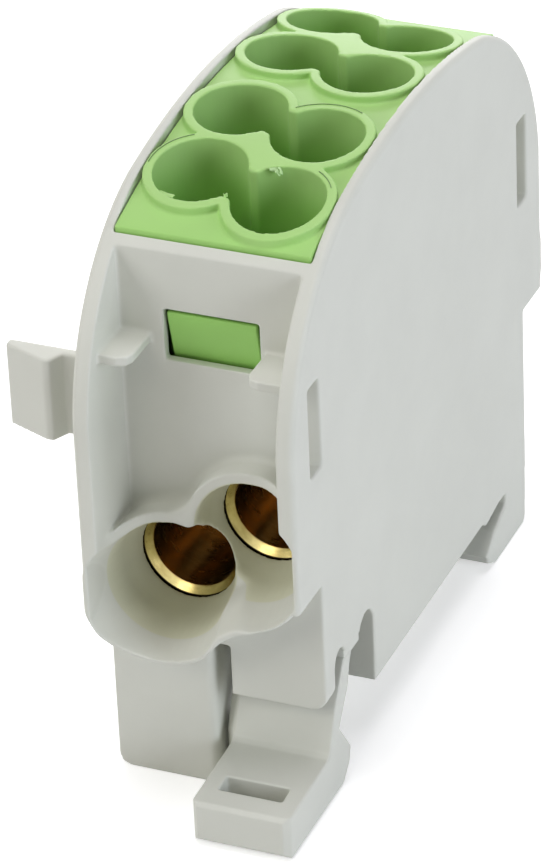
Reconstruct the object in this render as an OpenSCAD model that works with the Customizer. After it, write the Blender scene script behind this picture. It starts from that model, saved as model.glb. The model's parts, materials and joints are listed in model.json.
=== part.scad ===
// Main terminal block for a 35 mm rail: moulded housing with a sprung rail latch,
// screw cover with eight screw funnels, brass terminal bar and eight clamp screws.
// Millimetres. The middle of the base underside is the origin, +Z is up,
// the wire entries face -Y and +Y, the rail runs along X.

/* [Housing] */
// Width over the side plates, one rail module
body_width = 17.5; // [17:0.1:18]
// Height of the crown over the base underside
crown_height = 44.2; // [43.5:0.1:46]
// Reach of the wire funnels from the middle
funnel_reach = 26.35; // [26:0.05:27.5]
// Radius of the crown along the rail's cross direction
crown_radius = 61; // [58:0.5:66]
// Radius of the shoulders that run into the ends
shoulder_radius = 17.1; // [16.5:0.1:17.6]
// Distance from the middle to the recess floors
recess_floor = 19.95; // [19.6:0.05:20.4]
// Distance from the middle to the lower end faces
block_reach = 21.87; // [21.5:0.05:22.3]
// Thickness of the side walls beside the cover
side_wall = 0.95; // [0.8:0.05:1.2]
// Thickness of the wing walls beside the recesses
wing_wall = 1.4; // [1.1:0.05:1.7]
// Chamfer on the long edges of the side plates
edge = 0.3; // [0.1:0.05:0.5]

/* [Wire entries] */
// Diameter of the wire bores
bore_diameter = 6.8; // [6:0.1:7]
// Distance of each bore's axis from the side face next to it
bore_inset = 5.3; // [5.25:0.05:5.4]
// Height of the low bore on the left
low_bore = 12.9; // [12.6:0.1:13.2]
// Height of the high bore on the right
high_bore = 17.6; // [17.3:0.1:17.9]
// Radius of the funnel bosses
boss_radius = 5.6; // [5.4:0.05:5.8]
// How far the upper collar of each funnel stands off the recess floor
collar_reach = 2.05; // [1.5:0.05:2.6]

/* [Terminal bar] */
// Gap between the ends of the brass bar and the end walls
bar_end_gap = 0.3; // [0.2:0.05:0.6]
// Gap between the brass bar and the side walls
bar_side_gap = 0.3; // [0.2:0.05:0.35]
// Thread height over each bore
thread_height = 4.5; // [4:0.1:5]
// Wall under each bore
bar_floor = 1.1; // [0.9:0.1:1.3]

/* [Clamp screws] */
// Thread diameter
screw_diameter = 6; // [5.6:0.1:6.2]
// Screw length
screw_length = 11; // [9:0.5:12]
// Distance of the inner rows from the middle
inner_row = 5; // [4.8:0.1:5.2]
// Distance of the front row from the middle
front_row = 12.8; // [12.5:0.05:12.85]
// Distance of the rear row from the middle
rear_row = 13.3; // [12.8:0.1:13.8]
// How far the right screws sit ahead of the left ones
row_stagger = 1.85; // [1.5:0.05:1.9]

/* [Screw cover] */
// Diameter of the screw funnels
funnel_diameter = 7.1; // [6.9:0.05:7.15]
// Wall of the funnels
funnel_wall = 0.75; // [0.6:0.05:0.8]
// Thickness of the cover plate
plate_thickness = 1.3; // [1:0.1:1.6]
// How far the plate lies under the crown
plate_drop = 0.6; // [0.5:0.05:0.9]

/* [Rail foot] */
// Depth of the front block and the hook under the base
foot_drop = 5.2; // [5:0.1:5.6]
// Distance from the middle to the end of the hook slot
hook_reach = 17.1; // [16.9:0.05:17.3]
// Width of the hook slot, for the rail's edge
hook_slot = 1.1; // [1.05:0.05:1.3]
// Reach of the latch foot from the middle
latch_reach = 29.9; // [29:0.1:31]
// Turning play of the latch in the housing
latch_play = 0.06; // [0.05:0.01:0.1]

/* [Hidden] */
$fn = 96;
half_width = body_width / 2;
tiny = 0.02;
far = 60;

crown_centre = crown_height - crown_radius;
shoulder_overlap = 0.04;
shoulder_y = funnel_reach - shoulder_radius + shoulder_overlap;
shoulder_rise = sqrt(pow(crown_radius - shoulder_radius, 2) - pow(shoulder_y, 2));
shoulder_z = crown_centre + shoulder_rise + shoulder_overlap;
wedge_lean = shoulder_y / shoulder_rise;

end_wall = 0.8;
bar_end_wall = 1.65;
cavity_x = half_width - side_wall;
cavity_y = recess_floor - end_wall;
wing_inner = half_width - wing_wall;
left_wing_bottom = low_bore - 1.95;
right_wing_bottom = high_bore - 3.1;

bore_radius = bore_diameter / 2;
bore_offset = half_width - bore_inset;
bore_chamfer = 0.56;
bores = [[-bore_offset, low_bore], [bore_offset, high_bore]];
bar_cavity_y = recess_floor - bar_end_wall;
entry_radius = bore_radius + 0.45;
tube_radius = boss_radius - 0.8;
trough_radius = boss_radius + 0.15;
lip = 0.45;
lip_wall = 0.45;
lip_bend = low_bore - 3.1;
lip_fall = 0.45;
funnel_steps = [
    [entry_radius, bar_cavity_y + 0.1],
    [tube_radius - 0.38, recess_floor - 0.2],
    [tube_radius - 0.25, recess_floor + 0.35],
    [tube_radius, funnel_reach - 3.35],
    [trough_radius - 0.4, funnel_reach - 0.95],
    [trough_radius - 0.3, funnel_reach - 0.25],
    [trough_radius - 0.2, funnel_reach + 1],
];
floor_fillet = 0.5;
collar = recess_floor + collar_reach;
collar_sweep = 3.3;
bore_middle = (low_bore + high_bore) / 2;
half_pitch = sqrt(pow(bore_offset, 2) + pow(high_bore - bore_middle, 2));
neck_tilt = atan((high_bore - bore_middle) / bore_offset);
upper_fillet = 3.4;
lower_fillet = 7;
neck_overlap = 0.04;
upper_land = 0.5;
lower_land = 1.1;
waist_start = 3;
land_lag = 0.2;

bar_lap = 0.7;
bar_gap = 0.1;
low_bar_top = low_bore + bore_radius + thread_height;
high_bar_top = high_bore + bore_radius + thread_height;
low_bar_floor = low_bore - bore_radius - bar_floor;
high_bar_floor = high_bore - bore_radius - bar_floor;
bar_y = bar_cavity_y - bar_end_gap;
bar_x = cavity_x - bar_side_gap;

rows = [-front_row, -inner_row, inner_row, rear_row];
screw_radius = screw_diameter / 2;
thread_play = 0.05;
screw_rest = 0.3;
screw_slot_width = 1.0;
screw_slot_depth = 1.4;
screw_chamfer = 0.5;
hole_radius = funnel_diameter / 2;
tube_outer = hole_radius + funnel_wall;
neck_opening = 3.2;
cover_gap = 0.1;
seat_gap = 0.3;
plate_radius = 60;
plate_centre = crown_height - plate_drop - plate_radius;
web_half = 2.8;
web_depth = 3.6;
window_half = 3.8;
window_bottom = 30.5;
window_top = 34.75;
tab_gap = 0.25;
tab_leg = 1.0;

slot_setback = 1;
slot_width = 2.15;
slot_height = 7.4;
coupling_inner = recess_floor + slot_setback;
coupling_outer = coupling_inner + slot_width;
coupling_bottom = 24.4;
coupling_top = coupling_bottom + slot_height;
shelf_thickness = 0.75;
shelf_front = recess_floor + 4.2;
shelf_corner = 1;
left_shelf = 2.5;
right_shelf = 3.1;

barb_play = 0.2;
barb_root = coupling_outer - 0.1;
barb_thickness = 0.9;
barb_step = 2.45;
barb_tip = 6.55;
barb_catch = 1.35;

hook_length = 4.5;
gap_left = -0.45;
gap_corner = 0.6;
gap_top = low_bore - 5.3;
tongue_left = 1.05;
tongue_thickness = 1.95;
tongue_bottom = 3.3;
pocket_front = block_reach - tongue_thickness;
pocket_length = 7.92;
pocket_rear = pocket_front - pocket_length;
pocket_top = 6.2;
slit_radius = 1.0;
notch_radius = 1.45;
hinge_setback = 3.12;
hinge_rise = 2.1;
hinge_y = -pocket_front + hinge_setback;
hinge_z = pocket_top + hinge_rise;
hinge_radius = 1.9;
hinge_left = 1.8;
hinge_skin = 0.7;
hinge_neck = 0.8;
hinge_mouth = 1.3;
latch_left = -0.1;
latch_bevel = 0.95;
foot_left = 0.75;
latch_gap = 0.42;
latch_top = pocket_top - latch_gap;
latch_lift = 0.2;
sole = latch_lift - foot_drop;
sole_edge = 0.5;
toe = 0.3;
toe_top = -1.35;
leg_top = [hinge_y - 1.3, latch_top];
leg_knee = [hinge_y - 3.4, 2.3];
leg_ankle = [hinge_y - 4.65, -0.75];
foot_root = [hinge_y - 5.1, -1.05];
leg_rear = [[hinge_y + 2, latch_top], [hinge_y - 0.3, 3.4], [hinge_y - 2.6, 0.3]];
nose = [[hinge_y - 0.5, -2.6], [hinge_y - 0.8, -3.8], [hinge_y - 2.1, sole]];
leg_hollow = [hinge_y + 3.8, 3.2];
leg_hollow_radius = 4.28;
foot_slot_y = -26.9;
foot_slot_width = 1.7;

grey = [0.80, 0.81, 0.77];
green = [0.55, 0.76, 0.40];
brass = [0.80, 0.66, 0.35];
steel = [0.70, 0.71, 0.72];

// Carries a profile drawn in Y and Z across the width
module across(from, to) {
    translate([from, 0, 0])
        rotate([90, 0, 90])
            linear_extrude(to - from)
                children();
}

// Carries a profile drawn in X and Z from one end towards the other
module lengthwise(from, to) {
    translate([0, to, 0])
        rotate([90, 0, 0])
            linear_extrude(to - from)
                children();
}

// Stands a revolved profile on the front, its height measured from the middle
module frontwards(x, z) {
    translate([x, 0, z])
        rotate([90, 0, 0])
            rotate_extrude()
                children();
}

module both_ends() {
    children();
    mirror([0, 1, 0])
        children();
}

// A box by its two corners
module block(low, high) {
    translate(low)
        cube(high - low);
}

// Disc across the width with chamfered rims
module drum(radius, y, z) {
    translate([0, y, z])
        rotate([0, 90, 0])
            rotate_extrude($fn = 180)
                polygon([
                    [0, -half_width],
                    [radius - edge, -half_width],
                    [radius, -half_width + edge],
                    [radius, half_width - edge],
                    [radius - edge, half_width],
                    [0, half_width],
                ]);
}

// Upright column with chamfered corners
module column(reach, from, to) {
    translate([0, 0, from])
        linear_extrude(to - from)
            polygon([
                [-half_width, -reach + edge],
                [-half_width + edge, -reach],
                [half_width - edge, -reach],
                [half_width, -reach + edge],
                [half_width, reach - edge],
                [half_width - edge, reach],
                [-half_width + edge, reach],
                [-half_width, reach - edge],
            ]);
}

// Side outline of the housing: crown arc, two shoulder arcs and upright ends
module outline_body() {
    intersection() {
        drum(crown_radius, 0, crown_centre);
        column(funnel_reach, 0, far);
        union() {
            for (side = [-1, 1])
                drum(shoulder_radius, side * shoulder_y, shoulder_z);
            across(-far, far)
                polygon([
                    [0, crown_centre],
                    [wedge_lean * crown_radius * 1.1, crown_centre + crown_radius * 1.1],
                    [-wedge_lean * crown_radius * 1.1, crown_centre + crown_radius * 1.1],
                ]);
            block([-far, -far, 0], [far, far, shoulder_z]);
        }
    }
}

// Middle of the housing between the recess floors, with the lower blocks and wings
module shell_body() {
    intersection() {
        outline_body();
        union() {
            block([-far, -recess_floor, 0], [far, recess_floor, far]);
            block([-far, -block_reach, 0], [0, block_reach, low_bore]);
            block([-tiny, -block_reach, 0], [far, block_reach, high_bore]);
            block([-far, -far, left_wing_bottom], [-wing_inner, far, far]);
            block([wing_inner, -far, right_wing_bottom], [far, far, far]);
        }
    }
}

// Space ahead of the funnel collar, swept forwards where it meets the wings
module collar_front() {
    reach = wing_inner - collar_sweep;
    bend = [for (turn = [0:7.5:90]) collar_sweep * [cos(turn), sin(turn)]];
    linear_extrude(far)
        polygon(concat(
            [[-wing_inner, -far]],
            [for (point = bend) [-reach - point[0], -collar - collar_sweep + point[1]]],
            [for (i = [len(bend) - 1:-1:0]) [reach + bend[i][0], -collar - collar_sweep + bend[i][1]]],
            [[wing_inner, -far]]
        ));
}

// Round funnel boss: full trough below the bore, short collar from the given height up
module wire_boss(x, z, collar_start) {
    fall = 0.65;
    front = funnel_reach + 4;
    difference() {
        intersection() {
            frontwards(x, z)
                polygon([
                    [0, recess_floor - 0.4],
                    [boss_radius + floor_fillet, recess_floor - 0.4],
                    [boss_radius + floor_fillet, recess_floor],
                    [boss_radius + 0.3 * floor_fillet, recess_floor + 0.3 * floor_fillet],
                    [boss_radius, recess_floor + floor_fillet],
                    [boss_radius, collar],
                    [trough_radius, collar + 1.5],
                    [trough_radius, funnel_reach - 1.6 * lip],
                    [trough_radius - 0.15 * lip, funnel_reach - 0.8 * lip],
                    [trough_radius - 0.5 * lip, funnel_reach - 0.2 * lip],
                    [trough_radius - lip, funnel_reach],
                    [0, funnel_reach],
                ]);
            block([-half_width, -far, 0], [half_width, 0, far]);
        }
        intersection() {
            collar_front();
            across(-wing_inner, wing_inner)
                polygon([
                    [-recess_floor, collar_start],
                    [-recess_floor, z + 2 * boss_radius],
                    [-front, z + 2 * boss_radius],
                    [-front, collar_start - fall * (front - collar)],
                    [-collar, collar_start],
                ]);
        }
    }
}

// Carries a profile drawn on the line between the two bores along the funnels
module between_bores(from, to) {
    lengthwise(-to, -from)
        translate([0, bore_middle])
            rotate(neck_tilt)
                children();
}

// Fillet between the two bosses, above them (side 1) or below them (side -1)
module boss_waist(side, reach, radius, fillet) {
    centre = sqrt(pow(radius + fillet, 2) - pow(half_pitch, 2)) - neck_overlap;
    half = 0.95 * half_pitch * fillet / (radius + fillet);
    between_bores(recess_floor - 0.4, reach)
        difference() {
            translate([-half, side > 0 ? 0 : -radius])
                square([2 * half, radius]);
            translate([0, side * centre])
                circle(fillet);
        }
}

// Inside of a funnel: flared mouth, tube and the cone that leads the wire into its bore
module wire_funnel(x, z) {
    frontwards(x, z)
        polygon(concat(
            [[0, bar_cavity_y - 0.3], [entry_radius, bar_cavity_y - 0.3]],
            funnel_steps,
            [[0, funnel_reach + 1]]
        ));
}

// Half height of a land this wide that blunts the ridge between two funnels of this radius
function land_half(radius, land) =
    sqrt(pow(radius, 2) - pow(half_pitch - land, 2)) - tiny;

// Open waist between the two funnels, above (side 1) or below (side -1) the line through the bores,
// ramped down to the web between them
module funnel_waist(side, land) {
    web = 0.6;
    foot = recess_floor + 0.1;
    ramp = 0.9;
    ramp_half = 0.94 * land_half(tube_radius - 0.19, land);
    last = len(funnel_steps) - 1;
    translate([0, 0, bore_middle])
        rotate([0, -neck_tilt, 0])
            across(-land, land)
                polygon(concat(
                    [[-foot, -side * web], [-foot, side * web], [-foot - ramp, side * ramp_half]],
                    [for (i = [waist_start:last])
                        [-funnel_steps[i][1] - land_lag, side * land_half(funnel_steps[i][0], land)]],
                    [[-funnel_steps[last][1] - land_lag, -side * web]]
                ));
}

// Space ahead of the lips, which fall back towards the bottom
module lip_front() {
    rise = 1 / lip_fall;
    depth = 6;
    across(-half_width - 1, half_width + 1)
        polygon([
            [-funnel_reach - 1, lip_bend + rise],
            [-funnel_reach - 1, lip_bend - depth],
            [-funnel_reach + lip_fall * depth, lip_bend - depth],
        ]);
}

// Small shelves over the coupling slots
module coupling_shelves() {
    intersection() {
        outline_body();
        translate([0, 0, coupling_top])
            linear_extrude(shelf_thickness)
                union() {
                    polygon([
                        [-wing_inner - tiny, -recess_floor + tiny],
                        [-wing_inner - tiny, -shelf_front],
                        [-wing_inner + left_shelf - shelf_corner, -shelf_front],
                        [-wing_inner + left_shelf - 0.3 * shelf_corner, -shelf_front + 0.3 * shelf_corner],
                        [-wing_inner + left_shelf, -shelf_front + shelf_corner],
                        [-wing_inner + left_shelf, -recess_floor + tiny],
                    ]);
                    polygon([
                        [wing_inner + tiny, -recess_floor + tiny],
                        [wing_inner + tiny, -shelf_front],
                        [wing_inner - right_shelf + shelf_corner, -shelf_front],
                        [wing_inner - right_shelf + 0.3 * shelf_corner, -shelf_front + 0.3 * shelf_corner],
                        [wing_inner - right_shelf, -shelf_front + shelf_corner],
                        [wing_inner - right_shelf, -recess_floor + tiny],
                    ]);
                }
    }
}

// Barbed tab that snaps into the slot of the next block on the rail
module coupling_tab() {
    translate([0, 0, coupling_bottom + barb_play])
        linear_extrude(coupling_top - coupling_bottom - 3 * barb_play)
            polygon([
                [-half_width + 0.5, -barb_root + barb_thickness],
                [-half_width - barb_tip, -barb_root + barb_thickness],
                [-half_width - barb_tip, -barb_root + 0.1],
                [-half_width - barb_step - 0.5, -barb_root - barb_catch],
                [-half_width - barb_step, -barb_root - barb_catch + 0.1],
                [-half_width - barb_step + 0.6, -barb_root],
                [-half_width + 0.5, -barb_root],
            ]);
}

// Fixed leg under the left half, in front of the rail's edge
module front_leg() {
    corner = 0.9;
    lengthwise(-block_reach, -hook_reach - 1.3)
        polygon([
            [-half_width, 1],
            [-half_width, -foot_drop + corner],
            [-half_width + 0.3 * corner, -foot_drop + 0.3 * corner],
            [-half_width + corner, -foot_drop],
            [gap_left - 0.3, -foot_drop],
            [gap_left, -foot_drop + 0.3],
            [gap_left, 1],
        ]);
}

// Fixed rear hook with the slot for the rail's edge and a crush rib over it
module rear_hook() {
    across(-half_width, half_width)
        polygon([
            [hook_reach - 1.3, 0.5],
            [hook_reach - 1.3, -0.05],
            [hook_reach, -0.05],
            [hook_reach, -hook_slot],
            [hook_reach - 2.7, -hook_slot - 1.1],
            [hook_reach - hook_length, -hook_slot - 2.5],
            [hook_reach - hook_length + 0.4, -foot_drop + 0.8],
            [hook_reach - hook_length + 2, -foot_drop],
            [block_reach - 0.6, -foot_drop],
            [block_reach - 0.2, -foot_drop + 0.5],
            [block_reach, 0.5],
        ]);
    across(-half_width, half_width)
        polygon([
            [hook_reach - hook_length - 0.9, 0.5],
            [hook_reach - hook_length - 0.9, 0],
            [hook_reach - hook_length, -0.5],
            [hook_reach - 1.4, 0],
            [hook_reach - 1.4, 0.5],
        ]);
}

// Room for the terminal bar, stepped like the bar, and for the cover above it
module terminal_room() {
    block([-cavity_x, -bar_cavity_y, low_bar_floor - bar_gap],
          [bar_lap + bar_gap, bar_cavity_y, far]);
    block([0, -bar_cavity_y, high_bar_floor - bar_gap],
          [cavity_x, bar_cavity_y, far]);
    block([-cavity_x, -cavity_y, high_bar_top - 0.5],
          [cavity_x, cavity_y, far]);
}

// Upright gap between the fixed leg, which has a rounded corner, and the tongue
module leg_gap() {
    centre = [gap_left - gap_corner, -block_reach + gap_corner];
    translate([0, 0, -foot_drop - 1])
        linear_extrude(foot_drop + 1 + gap_top)
            polygon(concat(
                [[centre[0], -block_reach - 1]],
                [for (turn = [-90:22.5:0]) centre + gap_corner * [cos(turn), sin(turn)]],
                [[gap_left, -pocket_front + 0.5],
                 [tongue_left, -pocket_front + 0.5],
                 [tongue_left, -block_reach - 1]]
            ));
}

// Room for the latch: the slit, the gap beside it, the notch behind it and its socket
module latch_room() {
    across(gap_left, half_width + 1)
        polygon([
            [-pocket_front, -foot_drop - 1],
            [-pocket_front, pocket_top],
            [-pocket_rear, pocket_top],
            [-pocket_rear, -foot_drop - 1],
        ]);
    across(gap_left, half_width + 1) {
        translate([-pocket_front + slit_radius + 0.05, pocket_top - 0.1])
            circle(slit_radius);
        translate([-pocket_rear - notch_radius - 0.05, pocket_top - 0.5])
            circle(notch_radius);
    }
    leg_gap();
    lengthwise(-block_reach - 1, -pocket_front + 0.5)
        polygon([
            [gap_left, -foot_drop - 1],
            [gap_left, tongue_bottom],
            [half_width - 1.2, tongue_bottom],
            [half_width - 0.55, tongue_bottom + 0.2],
            [half_width - 0.15, tongue_bottom + 0.65],
            [half_width + 0.1, tongue_bottom + 1.4],
            [half_width + 1, tongue_bottom + 1.4],
            [half_width + 1, -foot_drop - 1],
        ]);
    across(gap_left, half_width + 1)
        polygon([
            [-pocket_front - 1, tongue_bottom - 0.1],
            [-pocket_front + 0.1, tongue_bottom + 1.05],
            [-pocket_front + 0.1, tongue_bottom - 0.1],
        ]);
    across(hinge_left - 0.1, half_width - hinge_skin) {
        translate([hinge_y, hinge_z])
            circle(hinge_radius + latch_play);
        translate([hinge_y - hinge_mouth, pocket_top - 0.5])
            square([2 * hinge_mouth, hinge_z - pocket_top]);
    }
}

module housing() {
    color(grey)
        difference() {
            union() {
                shell_body();
                both_ends() {
                    wire_boss(-bore_offset, low_bore, low_bore + 1.8);
                    wire_boss(bore_offset, high_bore, high_bore - 0.3);
                    boss_waist(1, collar, boss_radius, upper_fillet);
                    boss_waist(-1, funnel_reach - 0.35 * lip, trough_radius, lower_fillet);
                    coupling_shelves();
                    coupling_tab();
                }
                front_leg();
                rear_hook();
            }
            terminal_room();
            both_ends() {
                intersection() {
                    union() {
                        for (bore = bores)
                            wire_funnel(bore[0], bore[1]);
                        funnel_waist(1, upper_land);
                        funnel_waist(-1, lower_land);
                    }
                    block([-half_width + lip_wall, -far, 0], [half_width - lip_wall, 0, far]);
                }
                lip_front();
                block([-window_half, -recess_floor - 1, window_bottom],
                      [window_half, -cavity_y + 1, window_top]);
                block([wing_inner - 1, -coupling_outer, coupling_bottom],
                      [half_width + 1, -coupling_inner, coupling_top]);
            }
            latch_room();
        }
}

// Side profile of the latch: leg, nose under the rail's edge and foot
module latch_profile() {
    difference() {
        polygon(concat(leg_rear, nose, [
            [-latch_reach + sole_edge, sole],
            [-latch_reach, sole + sole_edge],
            [-latch_reach, toe_top - toe],
            [-latch_reach + toe, toe_top],
            foot_root,
            leg_ankle,
            leg_knee,
            leg_top,
        ]));
        translate(leg_hollow)
            circle(leg_hollow_radius);
    }
}

// Bevel on the left edge of the latch leg, between two points of its profile
module leg_bevel(low, high) {
    run = high - low;
    side = latch_bevel * sqrt(2);
    translate([latch_left, low[0], low[1]])
        rotate([-atan2(run[0], run[1]), 0, 0])
            rotate([0, 0, 45])
                translate([-side / 2, -side / 2, 0])
                    cube([side, side, norm(run)]);
}

// Space beside the latch foot, which is narrower than the leg
module beside_foot() {
    root = leg_ankle[0] + latch_bevel;
    translate([0, 0, -far])
        linear_extrude(far + leg_ankle[1] + 0.1)
            polygon([
                [latch_left - 1, -far],
                [foot_left, -far],
                [foot_left, root - foot_left + latch_left],
                [latch_left, root],
                [latch_left - 1, root],
            ]);
}

module rail_latch() {
    right = half_width - 0.05;
    corner = 0.5;
    slot_wall = 1.4;
    color(grey)
        difference() {
            union() {
                across(latch_left, right)
                    latch_profile();
                across(hinge_left, half_width - hinge_skin - 0.1) {
                    translate([hinge_y, hinge_z])
                        circle(hinge_radius);
                    translate([hinge_y - hinge_neck, latch_top - 0.6])
                        square([2 * hinge_neck, hinge_z - latch_top]);
                }
            }
            block([foot_left + slot_wall, foot_slot_y - foot_slot_width / 2, -foot_drop - 1],
                  [right - slot_wall, foot_slot_y + foot_slot_width / 2, 1]);
            leg_bevel(leg_knee, leg_top);
            leg_bevel(leg_ankle, leg_knee);
            beside_foot();
            for (x = [foot_left, right])
                translate([x, -latch_reach, 0])
                    rotate([0, 0, 45])
                        cube([corner * sqrt(2), corner * sqrt(2), far], center = true);
        }
}

// Top arc of the cover, followed by the plate or by the rims of the funnels
module cover_arc(radius, centre) {
    translate([0, 0, centre])
        rotate([0, 90, 0])
            cylinder(h = body_width, r = radius, center = true, $fn = 180);
}

function screw_place(row, right) =
    [(right ? 1 : -1) * bore_offset, rows[row] - (right ? row_stagger : 0)];

// Upright tubes, one over each screw, standing on the terminal bar
module cover_tubes(radius, rise) {
    for (row = [0:3])
        for (right = [false, true]) {
            foot = (right ? high_bar_top : low_bar_top) + rise;
            place = screw_place(row, right);
            translate([place[0], place[1], foot])
                cylinder(h = crown_height - foot + 1, r = radius);
        }
}

// Webs between the rows that touch, flush with their rims
module cover_webs() {
    for (row = [0, 2])
        block([-web_half, rows[row] - row_stagger / 2, crown_height - web_depth],
              [web_half, rows[row + 1] - row_stagger / 2, far]);
}

// Openings between the two funnels of each row
module cover_necks() {
    for (row = [0:3])
        translate([0, rows[row] - row_stagger / 2, high_bar_top - 1])
            rotate([0, 0, -atan(row_stagger / (2 * bore_offset))])
                block([-bore_offset, -neck_opening / 2, 0],
                      [bore_offset, neck_opening / 2, far]);
}

// Snap tab behind the end window
module cover_tab() {
    face = cavity_y - cover_gap;
    across(-window_half + tab_gap, window_half - tab_gap)
        polygon([
            [-face + tab_leg, window_bottom - 0.6],
            [-face + 0.3, window_bottom - 0.6],
            [-face, window_bottom + 0.2],
            [-recess_floor + 0.15, window_top - 0.7],
            [-recess_floor + 0.15, window_top - tab_gap],
            [-face, window_top - tab_gap],
            [-face, crown_height - 4.6],
            [-face + tab_leg, crown_height - 4.6],
        ]);
}

module screw_cover() {
    color(green)
        difference() {
            union() {
                intersection() {
                    difference() {
                        cover_arc(plate_radius, plate_centre);
                        cover_arc(plate_radius - plate_thickness, plate_centre);
                    }
                    block([-cavity_x + cover_gap, -cavity_y + cover_gap, crown_height - 8],
                          [cavity_x - cover_gap, cavity_y - cover_gap, far]);
                }
                intersection() {
                    union() {
                        cover_tubes(tube_outer, seat_gap);
                        cover_webs();
                    }
                    cover_arc(crown_radius, crown_centre);
                    block([-cavity_x + cover_gap, -cavity_y + cover_gap, 0],
                          [cavity_x - cover_gap, cavity_y - cover_gap, far]);
                }
                both_ends()
                    cover_tab();
            }
            cover_tubes(hole_radius, -1);
            cover_necks();
            block([-bar_lap - seat_gap, -far, 0], [far, far, high_bar_top + seat_gap]);
        }
}

// Stepped brass block with two through bores and eight screw threads
module terminal_bar() {
    color(brass)
        difference() {
            union() {
                block([-bar_x, -bar_y, low_bar_floor], [bar_lap, bar_y, low_bar_top]);
                block([-bar_lap, -bar_y, high_bar_floor], [bar_x, bar_y, high_bar_top]);
            }
            for (bore = bores)
                translate([bore[0], 0, bore[1]])
                    rotate([90, 0, 0])
                        cylinder(h = 2 * bar_y + 2, r = bore_radius, center = true);
            both_ends()
                for (bore = bores)
                    frontwards(bore[0], bore[1])
                        polygon([
                            [0, bar_y - 2 * bore_chamfer],
                            [bore_radius - bore_chamfer, bar_y - 2 * bore_chamfer],
                            [bore_radius + bore_chamfer, bar_y],
                            [bore_radius + bore_chamfer, bar_y + 1],
                            [0, bar_y + 1],
                        ]);
            for (row = [0:3])
                for (right = [false, true]) {
                    place = screw_place(row, right);
                    bore_z = right ? high_bore : low_bore;
                    translate([place[0], place[1], bore_z])
                        cylinder(h = far, r = screw_radius + thread_play);
                }
        }
}

// Slotted clamp screw, drawn backed out just clear of its bore
module clamp_screw(number) {
    row = floor((number - 1) / 2);
    right = number % 2 == 0;
    place = screw_place(row, right);
    foot = (right ? high_bore : low_bore) + bore_radius + screw_rest;
    color(steel)
        translate([place[0], place[1], foot])
            difference() {
                rotate_extrude()
                    polygon([
                        [0, 0],
                        [screw_radius - screw_chamfer, 0],
                        [screw_radius, screw_chamfer],
                        [screw_radius, screw_length - screw_chamfer],
                        [screw_radius - screw_chamfer, screw_length],
                        [0, screw_length],
                    ]);
                translate([0, 0, screw_length])
                    cube([screw_slot_width, far, 2 * screw_slot_depth], center = true);
            }
}

housing();
rail_latch();
screw_cover();
terminal_bar();
clamp_screw(1);  // clamp_screw_1
clamp_screw(2);  // clamp_screw_2
clamp_screw(3);  // clamp_screw_3
clamp_screw(4);  // clamp_screw_4
clamp_screw(5);  // clamp_screw_5
clamp_screw(6);  // clamp_screw_6
clamp_screw(7);  // clamp_screw_7
clamp_screw(8);  // clamp_screw_8
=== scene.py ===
import json
import math
import bpy
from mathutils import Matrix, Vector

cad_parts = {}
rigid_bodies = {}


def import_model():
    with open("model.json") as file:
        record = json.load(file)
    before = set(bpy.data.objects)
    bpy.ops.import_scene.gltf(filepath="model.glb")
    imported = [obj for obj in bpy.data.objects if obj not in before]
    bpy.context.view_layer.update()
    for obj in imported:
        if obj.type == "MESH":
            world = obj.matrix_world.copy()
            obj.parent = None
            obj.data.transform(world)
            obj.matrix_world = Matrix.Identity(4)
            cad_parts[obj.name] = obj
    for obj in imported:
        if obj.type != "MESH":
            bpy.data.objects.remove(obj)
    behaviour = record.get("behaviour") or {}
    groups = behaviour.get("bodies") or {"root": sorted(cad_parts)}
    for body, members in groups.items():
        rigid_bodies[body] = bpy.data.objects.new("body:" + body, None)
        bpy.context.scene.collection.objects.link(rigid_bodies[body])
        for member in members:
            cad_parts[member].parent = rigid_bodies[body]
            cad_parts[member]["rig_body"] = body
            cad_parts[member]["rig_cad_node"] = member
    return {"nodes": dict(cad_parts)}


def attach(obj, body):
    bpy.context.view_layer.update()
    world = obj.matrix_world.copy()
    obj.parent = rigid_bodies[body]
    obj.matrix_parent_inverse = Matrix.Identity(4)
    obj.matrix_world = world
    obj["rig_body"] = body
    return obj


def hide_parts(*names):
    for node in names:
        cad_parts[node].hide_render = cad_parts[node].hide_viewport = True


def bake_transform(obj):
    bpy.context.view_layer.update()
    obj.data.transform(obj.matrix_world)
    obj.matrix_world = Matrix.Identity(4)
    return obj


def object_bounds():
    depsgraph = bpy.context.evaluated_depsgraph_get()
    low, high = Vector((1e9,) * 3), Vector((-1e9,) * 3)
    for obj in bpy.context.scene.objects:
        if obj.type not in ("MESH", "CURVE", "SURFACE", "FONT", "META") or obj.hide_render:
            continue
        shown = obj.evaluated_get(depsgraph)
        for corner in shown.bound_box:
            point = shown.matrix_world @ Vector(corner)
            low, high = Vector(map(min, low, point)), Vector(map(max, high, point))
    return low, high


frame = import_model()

mm = 0.001
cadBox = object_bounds()
nodes = frame["nodes"]
creaseAngle = math.radians(40)


def deselectAll():
    if bpy.context.mode != "OBJECT":
        bpy.ops.object.mode_set(mode="OBJECT")
    bpy.ops.object.select_all(action="DESELECT")


def makeActive(piece):
    deselectAll()
    piece.select_set(True)
    bpy.context.view_layer.objects.active = piece


def applyModifier(piece, kind, **values):
    makeActive(piece)
    step = piece.modifiers.new(kind.lower(), kind)
    for key, value in values.items():
        setattr(step, key, value)
    bpy.ops.object.modifier_apply(modifier=step.name)


def bakePlace(piece):
    makeActive(piece)
    bpy.ops.object.transform_apply(location=True, rotation=True, scale=True)


def editAll():
    bpy.ops.object.mode_set(mode="EDIT")
    bpy.ops.mesh.select_all(action="SELECT")


# shader building

def newMaterial(name):
    material = bpy.data.materials.new(name)
    material.use_nodes = True
    tree = material.node_tree
    return material, tree, tree.nodes["Principled BSDF"]


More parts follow.
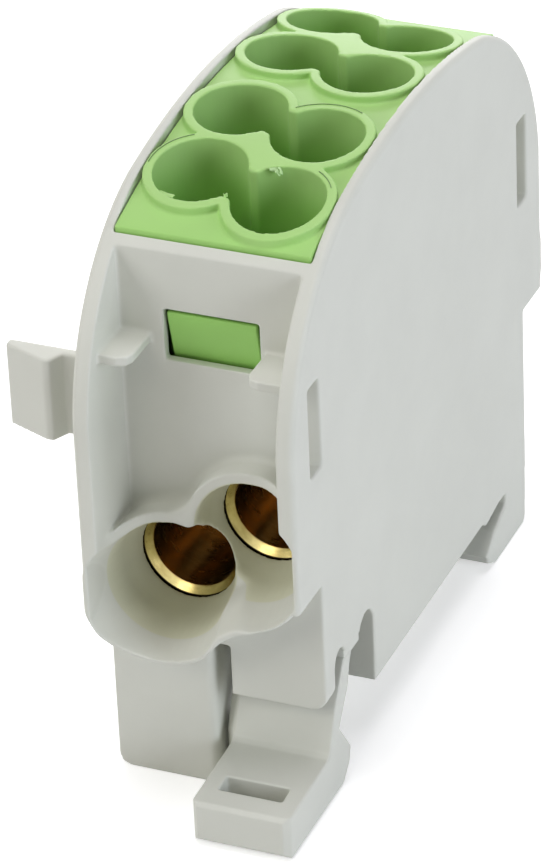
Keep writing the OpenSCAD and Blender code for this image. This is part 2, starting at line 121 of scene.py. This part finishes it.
def addNode(tree, kind, **values):
    node = tree.nodes.new(kind)
    for key, value in values.items():
        if key in node.inputs:
            node.inputs[key].default_value = value
        else:
            setattr(node, key, value)
    return node


def plug(tree, value, socket):
    if isinstance(value, bpy.types.NodeSocket):
        tree.links.new(value, socket)
    else:
        socket.default_value = value


def mathStep(tree, operation, *values):
    node = addNode(tree, "ShaderNodeMath", operation=operation)
    for value, socket in zip(values, node.inputs):
        plug(tree, value, socket)
    return node.outputs[0]


def remap(tree, value, start=0, end=1, low=0, high=1, **settings):
    node = addNode(tree, "ShaderNodeMapRange", **settings)
    for key, number in (("From Min", start), ("From Max", end), ("To Min", low), ("To Max", high)):
        node.inputs[key].default_value = number
    tree.links.new(value, node.inputs["Value"])
    return node.outputs["Result"]


def fadeBetween(tree, value, start, end):
    return remap(tree, value, start * mm, end * mm, interpolation_type="SMOOTHSTEP")


def noise(tree, place, scale, detail, roughness):
    node = addNode(tree, "ShaderNodeTexNoise", Scale=scale, Detail=detail, Roughness=roughness)
    tree.links.new(place, node.inputs["Vector"])
    return node.outputs["Fac"]


def twoTone(tree, value, span, low, high):
    ramp = addNode(tree, "ShaderNodeValToRGB")
    for number, colour in enumerate((low, high)):
        ramp.color_ramp.elements[number].position = span[number]
        ramp.color_ramp.elements[number].color = (*colour, 1)
    tree.links.new(value, ramp.inputs["Fac"])
    return ramp.outputs["Color"]


def multiplyColours(tree, first, second, mask=1):
    mix = addNode(tree, "ShaderNodeMixRGB", blend_type="MULTIPLY")
    for value, socket in zip((mask, first, second), mix.inputs):
        plug(tree, value, socket)
    return mix.outputs["Color"]


def bumpFrom(tree, shader, height, strength, depth):
    bump = addNode(tree, "ShaderNodeBump", Strength=strength, Distance=depth)
    tree.links.new(height, bump.inputs["Height"])
    tree.links.new(bump.outputs["Normal"], shader.inputs["Normal"])


def objectPlace(tree):
    return addNode(tree, "ShaderNodeTexCoord").outputs["Object"]


def splitAxes(tree, place):
    axes = addNode(tree, "ShaderNodeSeparateXYZ")
    tree.links.new(place, axes.inputs[0])
    return [axes.outputs[key] for key in "XYZ"]


bores = {               # axes of the two wire bores, which run along Y
    "across": 3.45,
    "rise": 2.35,
    "middle": 15.25,
    "tilt": math.radians(34.26),
}


def nearestBore(tree, x, z):
    middle = bores["middle"] * mm
    leanX = mathStep(tree, "MULTIPLY", x, math.cos(bores["tilt"]))
    leanZ = mathStep(tree, "MULTIPLY", mathStep(tree, "SUBTRACT", z, middle), math.sin(bores["tilt"]))
    side = mathStep(tree, "SIGN", mathStep(tree, "ADD", leanX, leanZ))
    fromX = mathStep(tree, "SUBTRACT", x, mathStep(tree, "MULTIPLY", side, bores["across"] * mm))
    fromZ = mathStep(tree, "SUBTRACT", z, mathStep(tree, "MULTIPLY_ADD", side, bores["rise"] * mm, middle))
    squares = mathStep(tree, "MULTIPLY_ADD", fromX, fromX, mathStep(tree, "MULTIPLY", fromZ, fromZ))
    return mathStep(tree, "SQRT", squares), mathStep(tree, "ARCTAN2", fromZ, fromX)


# materials

moulding = {
    "tint": 0.022,          # how far the pigment clouds stray from the colour
    "span": (0.3, 0.7),
    "clouds": (160, 3, 0.55),       # scale, detail and roughness; clouds about 6 mm across
    "grain": (5200, 2, 0.6),        # spark-eroded grain, about 0.2 mm
    "grainDepth": 0.008 * mm,
    "grainStrength": 0.35,
    "rough": (0.42, 0.56),
    "specular": 0.35,
}


def mouldedPlastic(name, colour):
    material, tree, shader = newMaterial(name)
    place = objectPlace(tree)
    low = [value * (1 - moulding["tint"]) for value in colour]
    high = [min(1, value * (1 + moulding["tint"])) for value in colour]
    shades = twoTone(tree, noise(tree, place, *moulding["clouds"]), moulding["span"], low, high)
    grain = noise(tree, place, *moulding["grain"])
    roughLow, roughHigh = moulding["rough"]
    plug(tree, shades, shader.inputs["Base Color"])
    plug(tree, remap(tree, grain, low=roughLow, high=roughHigh), shader.inputs["Roughness"])
    plug(tree, moulding["specular"], shader.inputs["Specular IOR Level"])
    bumpFrom(tree, shader, grain, moulding["grainStrength"], moulding["grainDepth"])
    return material, tree, shader, place, shades


greyFinish = {
    "colour": (0.625, 0.635, 0.575),
    "tubeShadeTint": (1.0, 0.995, 0.85),     # painted shade: the tubes deep in the funnels are painted yellower than the flared mouths
    "tubeDepth": (23.05, 22.9),
    "tubeRadius": (4.86, 4.8),
}


def greyPlastic():
    material, tree, shader, place, shades = mouldedPlastic("grey moulding", greyFinish["colour"])
    x, y, z = splitAxes(tree, place)
    depth = fadeBetween(tree, mathStep(tree, "ABSOLUTE", y), *greyFinish["tubeDepth"])
    inside = fadeBetween(tree, nearestBore(tree, x, z)[0], *greyFinish["tubeRadius"])
    # painted shade: yellower down the tubes of the wire funnels
    mask = mathStep(tree, "MULTIPLY", depth, inside)
    plug(tree, multiplyColours(tree, shades, (*greyFinish["tubeShadeTint"], 1), mask), shader.inputs["Base Color"])
    return material


greenFinish = {
    "colour": (0.385, 0.63, 0.21),
    "deepShadeTint": (0.8, 0.96, 0.66),      # painted shade: fuller, darker colour down the funnels
    "deep": (42.6, 38.5),
}


def greenPlastic():
    material, tree, shader, place, shades = mouldedPlastic("green moulding", greenFinish["colour"])
    # painted shade: the colour grows fuller and darker further down the funnels
    mask = fadeBetween(tree, splitAxes(tree, place)[2], *greenFinish["deep"])
    plug(tree, multiplyColours(tree, shades, (*greenFinish["deepShadeTint"], 1), mask), shader.inputs["Base Color"])
    return material


brassFinish = {
    "boreColour": (0.68, 0.48, 0.2),
    "ringColour": (0.77, 0.65, 0.28),
    "endShadeColour": (0.035, 0.025, 0.012),     # near black on the bar's end face: painted shade of the gap behind the entry holes
    "zones": (3, 4.2),          # radii at the two ends of the colour ramp
    "boreEdge": 3.44,
    "ringEdge": 3.91,
    "boreBlur": 0.01,
    "ringBlur": 0.015,
    "facets": 2,                # tool chatter round each ring
    "turning": 350,             # and across it
    "feed": 1500,               # drill marks along the bores
    "chatter": (1, 3, 0.6),
    "dull": (0.62, 0.57, 0.48),
    "span": (0.3, 0.66),
    "rough": (0.34, 0.16),
    "markDepth": 0.015 * mm,
    "markStrength": 0.6,
}


def brassZones(tree, radius):
    inner, outer = brassFinish["zones"]
    boreEdge, ringEdge = [(brassFinish[key] - inner) / (outer - inner) for key in ("boreEdge", "ringEdge")]
    colours = addNode(tree, "ShaderNodeValToRGB")
    ramp = colours.color_ramp.elements
    ramp[0].position = boreEdge - brassFinish["boreBlur"]
    ramp[0].color = (*brassFinish["boreColour"], 1)
    # the last stop, out on the bar's end face, is painted shade
    ramp[1].position = ringEdge + brassFinish["ringBlur"]
    ramp[1].color = (*brassFinish["endShadeColour"], 1)
    for position in (boreEdge + brassFinish["boreBlur"], ringEdge - brassFinish["ringBlur"]):
        ramp.new(position).color = (*brassFinish["ringColour"], 1)
    tree.links.new(remap(tree, radius, inner * mm, outer * mm), colours.inputs["Fac"])
    return colours.outputs["Color"]


def turnedBrass():
    material, tree, shader = newMaterial("turned brass")
    x, y, z = splitAxes(tree, objectPlace(tree))
    radius, angle = nearestBore(tree, x, z)
    around = addNode(tree, "ShaderNodeCombineXYZ")
    for socket, value, key in zip(around.inputs, (angle, radius, y), ("facets", "turning", "feed")):
        plug(tree, mathStep(tree, "MULTIPLY", value, brassFinish[key]), socket)
    chatter = noise(tree, around.outputs[0], *brassFinish["chatter"])
    shades = twoTone(tree, chatter, brassFinish["span"], brassFinish["dull"], (1, 1, 1))
    roughLow, roughHigh = brassFinish["rough"]
    plug(tree, multiplyColours(tree, brassZones(tree, radius), shades), shader.inputs["Base Color"])
    plug(tree, remap(tree, chatter, low=roughLow, high=roughHigh), shader.inputs["Roughness"])
    plug(tree, 1, shader.inputs["Metallic"])
    bumpFrom(tree, shader, chatter, brassFinish["markStrength"], brassFinish["markDepth"])
    return material


zincFinish = {
    "marks": (1300, 4, 0.6),
    "span": (0.3, 0.7),
    "dark": (0.36, 0.37, 0.39),
    "light": (0.5, 0.51, 0.52),
    "rough": (0.24, 0.4),
}


def zincPlate():
    material, tree, shader = newMaterial("zinc plate")
    marks = noise(tree, objectPlace(tree), *zincFinish["marks"])
    shades = twoTone(tree, marks, zincFinish["span"], zincFinish["dark"], zincFinish["light"])
    roughLow, roughHigh = zincFinish["rough"]
    plug(tree, shades, shader.inputs["Base Color"])
    plug(tree, remap(tree, marks, low=roughLow, high=roughHigh), shader.inputs["Roughness"])
    plug(tree, 1, shader.inputs["Metallic"])
    return material


greyMoulding = greyPlastic()
greenMoulding = greenPlastic()
brass = turnedBrass()
zinc = zincPlate()
print("materials ready")


# moulded pieces: each takes the node's shape with its edges rounded as the mould rounds them

rounding = {
    "merge": 0.002,
    "factor": 0.5,
    "quick": {"voxel": 0.25, "passes": 2},
    "housing": {"voxel": 0.12, "passes": 4, "faces": 150000},
    "screw_cover": {"voxel": 0.09, "passes": 4, "faces": 130000},
    "rail_latch": {"voxel": 0.09, "passes": 5, "faces": 50000},
}

waist = {               # saddle between the two wire funnels, the same at both ends
    "half": 1.9,
    "near": 0.9,
    "far": 5.4,
    "reach": 19.6,
    "blend": 0.7,       # over which the softening sets in, across and beside
    "endBlend": 0.4,
    "passes": 70,
}

necks = {               # ridges where the two screw funnels of a row meet
    "rows": (-13.725, -5.925, 4.075, 12.375),
    "tilt": math.radians(-15.01),
    "half": 0.9,
    "near": 1.0,
    "far": 2.3,
    "wide": 1.6,        # nothing further than this from a neck is weighed
    "long": 3,
    "blend": 0.4,
    "nearBlend": 0.3,
    "passes": 30,
}


def fade(value, width):
    return max(0.0, min(1.0, value / width))


def waistWeight(x, y, z):
    if abs(y) < waist["reach"]:
        return 0
    z -= bores["middle"]
    along = abs(x * math.cos(bores["tilt"]) + z * math.sin(bores["tilt"]))
    beside = abs(z * math.cos(bores["tilt"]) - x * math.sin(bores["tilt"]))
    return (fade(waist["half"] - along, waist["blend"]) * fade(waist["far"] - beside, waist["endBlend"])
            * fade(beside - waist["near"], waist["blend"]) * fade(abs(y) - waist["reach"], waist["endBlend"]))


def neckWeight(x, y, z):
    if abs(x) > necks["wide"]:
        return 0
    best = 0
    for row in necks["rows"]:
        away = y - row
        if abs(away) < necks["long"]:
            along = abs(x * math.cos(necks["tilt"]) + away * math.sin(necks["tilt"]))
            beside = abs(away * math.cos(necks["tilt"]) - x * math.sin(necks["tilt"]))
            best = max(best, fade(necks["half"] - along, necks["blend"])
                       * fade(beside - necks["near"], necks["nearBlend"])
                       * fade(necks["far"] - beside, necks["blend"]))
    return best


def softenWhere(piece, weigh, passes):
    group = piece.vertex_groups.new(name="soft")
    spots = [0.0] * (3 * len(piece.data.vertices))
    piece.data.vertices.foreach_get("co", spots)
    levels = {}
    for i in range(0, len(spots), 3):
        weight = round(weigh(spots[i] / mm, spots[i + 1] / mm, spots[i + 2] / mm), 1)
        if weight > 0:
            levels.setdefault(weight, []).append(i // 3)
    for weight, points in levels.items():
        group.add(points, weight, "REPLACE")
    applyModifier(piece, "SMOOTH", factor=rounding["factor"], iterations=passes, vertex_group=group.name)
    piece.vertex_groups.clear()


def dress(piece, material):
    piece.data.materials.clear()
    piece.data.materials.append(material)


def finishPiece(piece, material, body):
    dress(piece, material)
    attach(piece, body)


def roundedCopy(name, node, weigh=None, passes=0):
    makeActive(nodes[node])
    bpy.ops.object.duplicate(linked=False)
    piece = bpy.context.object
    piece.name = piece.data.name = name
    piece.parent = None
    for key in ("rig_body", "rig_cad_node"):      # the copy is a new piece
        if key in piece:
            del piece[key]
    editAll()
    bpy.ops.mesh.remove_doubles(threshold=rounding["merge"] * mm)
    bpy.ops.object.mode_set(mode="OBJECT")
    fineness = rounding[node]
    applyModifier(piece, "REMESH", mode="VOXEL", voxel_size=fineness["voxel"] * mm)
    applyModifier(piece, "SMOOTH", factor=rounding["factor"], iterations=fineness["passes"])
    if weigh:
        softenWhere(piece, weigh, passes)
    triangles = 2 * len(piece.data.polygons)
    most = rounding[node]["faces"]
    if triangles > most:
        applyModifier(piece, "DECIMATE", ratio=most / triangles)
    bpy.ops.object.shade_smooth()
    applyModifier(piece, "WEIGHTED_NORMAL", mode="FACE_AREA", keep_sharp=False)
    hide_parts(node)
    print(name, "rounded,", len(piece.data.polygons), "faces")
    return piece


housingSkin = roundedCopy("housing_moulding", "housing", waistWeight, waist["passes"])
finishPiece(housingSkin, greyMoulding, "block")
coverSkin = roundedCopy("cover_moulding", "screw_cover", neckWeight, necks["passes"])
finishPiece(coverSkin, greenMoulding, "block")
latchSkin = roundedCopy("latch_moulding", "rail_latch")
finishPiece(latchSkin, greyMoulding, "latch")

dress(nodes["terminal_bar"], brass)
for number in range(1, 9):
    dress(nodes[f"clamp_screw_{number}"], zinc)
print("metal pieces dressed")


# bending root of the latch, moulded in one with the housing

latchRoot = {
    "across": (-0.02, 8.66),
    "deep": (-18.0, -14.9),
    "tall": (5.5, 6.45),
    "bend": (6.25, 5.7),
    "cuts": 5,
    "bevel": 0.12,
}


def bendingRoot():
    (x0, x1), (y0, y1), (z0, z1) = (latchRoot[key] for key in ("across", "deep", "tall"))
    deselectAll()
    bpy.ops.mesh.primitive_cube_add(size=1)
    piece = bpy.context.object
    piece.name = piece.data.name = "latch_root"
    piece.scale = ((x1 - x0) * mm, (y1 - y0) * mm, (z1 - z0) * mm)
    piece.location = ((x0 + x1) / 2 * mm, (y0 + y1) / 2 * mm, (z0 + z1) / 2 * mm)
    bakePlace(piece)
    editAll()
    bpy.ops.mesh.subdivide(number_cuts=latchRoot["cuts"])
    bpy.ops.object.mode_set(mode="OBJECT")
    applyModifier(piece, "BEVEL", width=latchRoot["bevel"] * mm, segments=2, limit_method="ANGLE")
    bpy.ops.object.shade_smooth_by_angle(angle=creaseAngle)
    dress(piece, greyMoulding)
    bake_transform(piece)


bendingRoot()
print("latch root bridged")


# dark ribbons on three rims: painted shade of the fine seams that the core pins left

rimShadeLines = {
    "crownRadius": 61,
    "crownCentre": -16.8,
    "width": 0.05,
    "thick": 0.1,
    "lift": 0.008,
    "points": 240,      # of the full circle
    "arcs": (           # funnel centre x and y, radius, first and last angle
        (-3.45, -12.8, 4.08, 117, 184),
        (3.45, -14.65, 3.9, 28, 62),
        (3.45, -6.85, 4.15, 58, 136),
    ),
    # painted shade of the seams
    "colour": (0.13, 0.23, 0.075),
}
rimSeamShade = mouldedPlastic("green seam shade", rimShadeLines["colour"])[0]


def rimHeight(y):
    return rimShadeLines["crownCentre"] + math.sqrt(rimShadeLines["crownRadius"] ** 2 - y ** 2)


def rimShadeLine(name, x, y, radius, first, last):
    deselectAll()
    centre = (x * mm, y * mm, 0)
    bpy.ops.mesh.primitive_circle_add(vertices=rimShadeLines["points"], radius=radius * mm,
                                      fill_type="NOTHING", location=centre)
    piece = bpy.context.object
    piece.name = piece.data.name = name
    bakePlace(piece)
    bpy.ops.object.mode_set(mode="EDIT")
    bpy.ops.mesh.select_all(action="DESELECT")
    bpy.ops.object.mode_set(mode="OBJECT")
    for point in piece.data.vertices:
        turn = math.degrees(math.atan2(point.co.y - centre[1], point.co.x - centre[0])) % 360
        point.select = not first <= turn <= last
    bpy.ops.object.mode_set(mode="EDIT")
    bpy.ops.mesh.delete(type="VERT")
    bpy.ops.mesh.select_all(action="SELECT")
    bpy.ops.mesh.extrude_region()
    inward = 1 - rimShadeLines["width"] / radius
    bpy.ops.transform.resize(value=(inward, inward, 1), center_override=centre)
    bpy.ops.object.mode_set(mode="OBJECT")
    for point in piece.data.vertices:
        point.co.z = (rimHeight(point.co.y / mm) + rimShadeLines["lift"]) * mm
    editAll()
    bpy.ops.mesh.normals_make_consistent(inside=False)
    bpy.ops.object.mode_set(mode="OBJECT")
    applyModifier(piece, "SOLIDIFY", thickness=rimShadeLines["thick"] * mm, offset=0)
    bpy.ops.object.shade_smooth_by_angle(angle=creaseAngle)
    finishPiece(piece, rimSeamShade, "block")


for number, arc in enumerate(rimShadeLines["arcs"], 1):
    rimShadeLine(f"rim_seam_shade_{number}", *arc)
print("rims marked")


# flash on the rims of the front pair

rimFlash = {
    "grid": (6, 3),
    "thick": 0.07,
    "ragged": 0.055,
    "pale": (0.47, 0.68, 0.33),
    "bits": (           # place, length, width, turn in degrees, seed, whether it is stretched pale
        ((2.0, -11.72, 43.02), 0.8, 0.28, (50, 10, 35), 3, True),
        ((2.45, -11.7, 43.0), 0.75, 0.3, (-40, 25, -50), 8, True),
        ((2.35, -11.95, 42.92), 0.5, 0.32, (20, 45, 10), 5, True),
        ((-4.95, -15.77, 41.9), 1.35, 0.42, (12, 4, -14), 11, False),
        ((-0.43, -15.28, 42.3), 0.34, 0.3, (62, 0, 40), 14, False),
    ),
}
rimPale = mouldedPlastic("green flash", rimFlash["pale"])[0]


def flashBit(name, place, length, width, turn, seed, pale):
    deselectAll()
    cutsX, cutsY = rimFlash["grid"]
    bpy.ops.mesh.primitive_grid_add(x_subdivisions=cutsX, y_subdivisions=cutsY, size=1)
    piece = bpy.context.object
    piece.name = piece.data.name = name
    piece.scale = (length * mm, width * mm, mm)
    piece.rotation_euler = [math.radians(angle) for angle in turn]
    piece.location = [value * mm for value in place]
    bakePlace(piece)
    editAll()
    bpy.ops.transform.vertex_random(offset=rimFlash["ragged"] * mm, uniform=1, seed=seed)
    bpy.ops.object.mode_set(mode="OBJECT")
    applyModifier(piece, "SOLIDIFY", thickness=rimFlash["thick"] * mm, offset=0)
    applyModifier(piece, "SUBSURF", levels=2, render_levels=2)
    bpy.ops.object.shade_smooth()
    finishPiece(piece, rimPale if pale else greenMoulding, "block")


for number, bit in enumerate(rimFlash["bits"], 1):
    flashBit(f"rim_flash_{number}", *bit)
print("flash added")


# studio

studio = {
    "floorSize": 6,
    "floorDrop": 0.02,
    "floorColour": (0.9, 0.9, 0.9),
    "floorRough": 0.9,
    "floorGlow": 0.45,
    "floorFade": (0.12, 0.45),      # far floor, out of the lamps' reach, glows white
    "ambient": 0.03,
    "aim": (0, 0, 0.02),
    "lamps": (          # place, size, watts, colour
        ("right lamp", (0.84, -0.24, 0.23), 0.5, 4.25, (0.88, 0.93, 1.02)),
        ("left lamp", (-0.7, -0.5, 0.35), 0.6, 3.3, (0.99, 0.99, 1.0)),
        ("top lamp", (0, 0.05, 0.9), 0.7, 4.7, (0.98, 0.96, 1.0)),
        ("front lamp", (-0.1, -0.66, 0.66), 0.5, 1.1, (1.0, 0.94, 0.78)),
        ("back lamp", (-0.35, 0.85, 0.3), 0.6, 3.0, (1.0, 1.0, 1.0)),
    ),
}


def seenRays(tree):
    rays = addNode(tree, "ShaderNodeLightPath").outputs
    direct = mathStep(tree, "MAXIMUM", rays["Is Camera Ray"], rays["Is Glossy Ray"])
    return mathStep(tree, "MAXIMUM", direct, rays["Is Transmission Ray"])


def studioFloor():
    deselectAll()
    height = cadBox[0][2] - studio["floorDrop"] * mm
    bpy.ops.mesh.primitive_plane_add(size=studio["floorSize"], location=(0, 0, height))
    floor = bpy.context.object
    floor.name = "studio_floor"
    material, tree, shader = newMaterial("studio floor")
    away = addNode(tree, "ShaderNodeVectorMath", operation="LENGTH")
    tree.links.new(objectPlace(tree), away.inputs[0])
    near, far = studio["floorFade"]
    level = remap(tree, away.outputs["Value"], near, far, studio["floorGlow"], 1)
    plug(tree, (*studio["floorColour"], 1), shader.inputs["Base Color"])
    plug(tree, studio["floorRough"], shader.inputs["Roughness"])
    plug(tree, 0, shader.inputs["Specular IOR Level"])
    plug(tree, (1, 1, 1, 1), shader.inputs["Emission Color"])
    plug(tree, mathStep(tree, "MULTIPLY", seenRays(tree), level), shader.inputs["Emission Strength"])
    dress(floor, material)


def studioWorld():
    world = bpy.data.worlds.new("studio")
    bpy.context.scene.world = world
    world.use_nodes = True
    tree = world.node_tree
    back = tree.nodes["Background"]
    plug(tree, (1, 1, 1, 1), back.inputs["Color"])
    plug(tree, remap(tree, seenRays(tree), low=studio["ambient"], high=1), back.inputs["Strength"])


def studioLamps():
    for name, place, size, power, colour in studio["lamps"]:
        deselectAll()
        bpy.ops.object.light_add(type="AREA", location=place)
        lamp = bpy.context.object
        lamp.name = name
        lamp.data.shape = "DISK"
        lamp.data.size = size
        lamp.data.energy = power
        lamp.data.color = colour
        x, y, z = [a - b for a, b in zip(studio["aim"], place)]
        lamp.rotation_euler = (math.atan2(math.hypot(x, y), -z), 0, math.atan2(y, x) - math.pi / 2)


camera = {
    "place": (0.1264925, -0.2977387, 0.2057436),
    "turn": (59.29748, 2.26263, 22.38301),
    "lens": 200.194,
    "sensor": 36,
    "nearest": 0.01,
}


def studioCamera():
    deselectAll()
    turn = [math.radians(angle) for angle in camera["turn"]]
    bpy.ops.object.camera_add(location=camera["place"], rotation=turn)
    view = bpy.context.object
    view.name = "studio_camera"
    view.data.sensor_fit = "VERTICAL"
    view.data.sensor_height = camera["sensor"]
    view.data.lens = camera["lens"]
    view.data.clip_start = camera["nearest"]
    bpy.context.scene.camera = view


studioFloor()
studioWorld()
studioLamps()
studioCamera()
bpy.context.scene.view_settings.view_transform = "Standard"
print("studio set")
